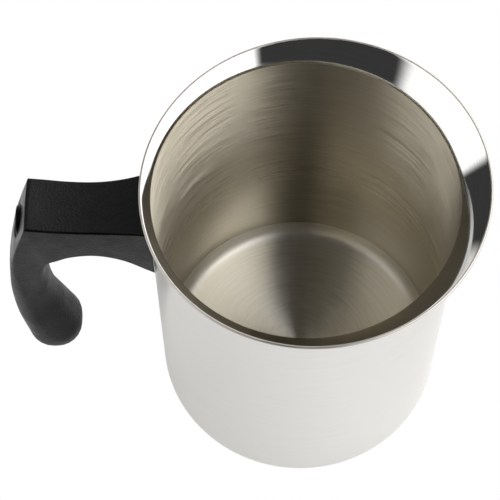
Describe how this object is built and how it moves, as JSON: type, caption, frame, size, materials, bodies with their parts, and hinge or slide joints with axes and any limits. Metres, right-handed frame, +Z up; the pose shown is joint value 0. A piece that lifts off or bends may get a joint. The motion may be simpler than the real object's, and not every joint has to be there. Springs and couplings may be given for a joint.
{
  "type": "candle melting pot",
  "caption": "Steel wax melting pot: a straight-walled cup with a flared, slanted pouring rim, a layered flat base and a black hook-shaped side handle held by a plugged screw.",
  "frame": {"origin": "centre of the base, on the surface the pot stands on", "axes": "+Z up along the body's axis, -X towards the handle, +X towards the higher, pouring side of the rim"},
  "size_m": [0.1585, 0.1102, 0.1338],
  "materials": {
    "vessel_steel": "brushed round the inside, satin outside, mirror-polished flare",
    "base_steel": "satin",
    "core_aluminium": "mill finish",
    "handle_black": "fine sand-grained moulding",
    "bracket_steel": "mill finish",
    "screw_zinc": "zinc plated",
    "washer_zinc": "zinc plated",
    "plug_black": "smooth moulding"
  },
  "bodies": {
    "root": {"vessel": "vessel_steel", "base_cap": "base_steel", "base_core": "core_aluminium", "handle": "handle_black", "handle_bracket": "bracket_steel", "handle_screw": "screw_zinc", "spring_washer": "washer_zinc", "screw_plug": "plug_black"}
  },
  "joints": []
}
